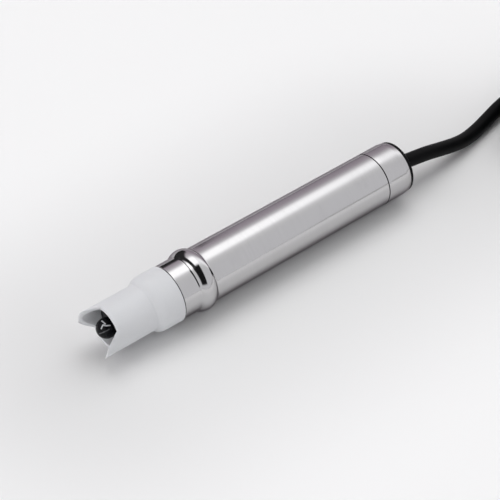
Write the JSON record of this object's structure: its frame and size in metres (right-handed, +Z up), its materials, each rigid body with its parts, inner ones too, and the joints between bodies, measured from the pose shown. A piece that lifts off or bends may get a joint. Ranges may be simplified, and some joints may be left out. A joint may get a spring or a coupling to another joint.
{
  "type": "ph electrode",
  "caption": "Sensor with a stainless barrel and rolled bead, a slotted white guard round its glass bulb, a tapered rear collar, and a black cable tied in a hank with a round plug.",
  "frame": {"origin": "centre of the underside of the box round the sensor, without its free cable; the bead's underside lies on z = 0", "axes": "+X along the barrel from the guard's tips to the cable, +Z up, the sensor lying on its side"},
  "size_m": [0.3904, 0.0855, 0.0542],
  "materials": {
    "guard_plastic": "matte white moulded plastic",
    "stainless": "fine turned stainless steel",
    "collar_steel": "fine turned stainless steel",
    "holder_plastic": "black turned plastic",
    "bulb_glass": "dark glossy glass",
    "rubber": "black rubber",
    "inner_plastic": "dark grey plastic",
    "silver": "drawn silver wire",
    "ceramic": "unglazed ceramic",
    "lead_insulation": "red wire insulation",
    "board_laminate": "green board",
    "chip_package": "black moulded package",
    "capacitor_can": "blue sleeve",
    "core_insulation": "grey wire insulation",
    "cap_plastic": "black plastic with a slight sheen",
    "boot_rubber": "soft black rubber",
    "ferrule": "plain aluminium",
    "cable_jacket": "smooth black cable jacket",
    "tie_band": "black band",
    "plug_plastic": "black overmoulding",
    "plug_insert": "black insert",
    "gold": "gold-plated contact",
    "nickel": "nickel-plated brass"
  },
  "bodies": {
    "sensor": {"body_tube": "stainless", "sensor_holder": "holder_plastic", "front_seals": "rubber", "glass_electrode": "bulb_glass", "stem_seal": "rubber", "stem_cap": "inner_plastic", "measuring_wire": "silver", "reference_tube": "ceramic", "reference_junction": "ceramic", "reference_wire": "silver", "reference_cap": "inner_plastic", "temperature_probe": "stainless", "sensor_leads": "lead_insulation", "board_carrier": "inner_plastic", "circuit_board": "board_laminate", "amplifier_chip": "chip_package", "processor_chip": "chip_package", "capacitors": "capacitor_can", "terminal_block": "board_laminate", "cable_cores": "core_insulation", "rear_collar": "collar_steel", "rear_seal": "rubber", "end_cap": "cap_plastic", "cable_boot": "boot_rubber", "cable_clamp": "ferrule", "cable_tail": "cable_jacket", "cable": "cable_jacket", "cable_hank": "cable_jacket", "cable_end": "cable_jacket", "hank_tie_side": "tie_band", "hank_tie_front": "tie_band", "plug_body": "plug_plastic", "contact_carrier": "plug_insert", "contact_pins": "gold"},
    "seal_ring": {"guard_seal": "rubber"},
    "guard_cap": {"guard": "guard_plastic"},
    "coupling_nut": {"plug_nut": "nickel"}
  },
  "joints": [
    {"name": "guard_travel", "type": "slide", "parent": "sensor", "child": "seal_ring", "axis": [-1, 0, 0], "range_m": [0, 0.009]},
    {"name": "guard_spin", "type": "hinge", "parent": "seal_ring", "child": "guard_cap", "pos_m": [-0.06, 0, 0.0157], "axis": [-1, 0, 0], "range_deg": [0, 2160]},
    {"name": "nut_spin", "type": "hinge", "parent": "sensor", "child": "coupling_nut", "pos_m": [0.265, 0.0045, 0.0466], "axis": [1, 0, 0], "continuous": true}
  ],
  "couplings": [
    {"joint": "guard_spin", "follows": "guard_travel", "rad_per_m": 4188.8}
  ]
}
